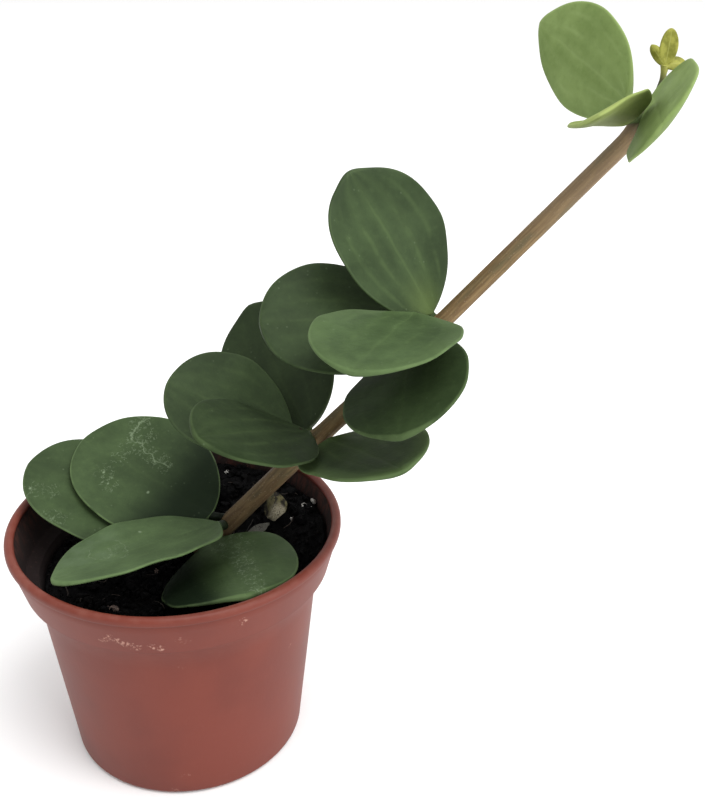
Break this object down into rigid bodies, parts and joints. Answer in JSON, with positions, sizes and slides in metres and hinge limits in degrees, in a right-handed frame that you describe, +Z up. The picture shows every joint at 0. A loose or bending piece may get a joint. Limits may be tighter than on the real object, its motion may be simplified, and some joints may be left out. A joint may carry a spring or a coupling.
{
  "type": "potted hope peperomia",
  "caption": "Small trailing houseplant with round fleshy leaves in whorls on one leaning stem, growing from soil in a small plastic nursery pot.",
  "frame": {"origin": "centre of the pot's flat foot, on the surface it stands on", "axes": "+Z up; the stem leans towards +X; the picture's view looks along +Y"},
  "size_m": [0.1308, 0.0707, 0.1546],
  "materials": {
    "pot_plastic": "satin, thin injection-moulded plastic",
    "soil": "moist, crumbly",
    "stem": "smooth, matte",
    "leaf": "waxy satin",
    "young_leaf": "waxy satin",
    "shoot": "waxy satin",
    "bark": "rough",
    "bark_grey": "rough"
  },
  "bodies": {
    "root": {"pot": "pot_plastic", "soil": "soil", "stem": "stem", "shoot": "shoot", "bark_chip": "bark", "bark_flake": "bark_grey", "leaf_low_left": "leaf", "leaf_low_back": "leaf", "leaf_low_front": "leaf", "leaf_low_right": "leaf", "leaf_second_left": "leaf", "leaf_second_front": "leaf", "leaf_second_upright": "leaf", "leaf_second_right": "leaf", "leaf_third_left": "leaf", "leaf_third_front": "leaf", "leaf_third_upright": "leaf", "leaf_third_hanging": "leaf", "leaf_top_upright": "young_leaf", "leaf_top_front": "young_leaf", "leaf_top_right": "young_leaf"}
  },
  "joints": []
}
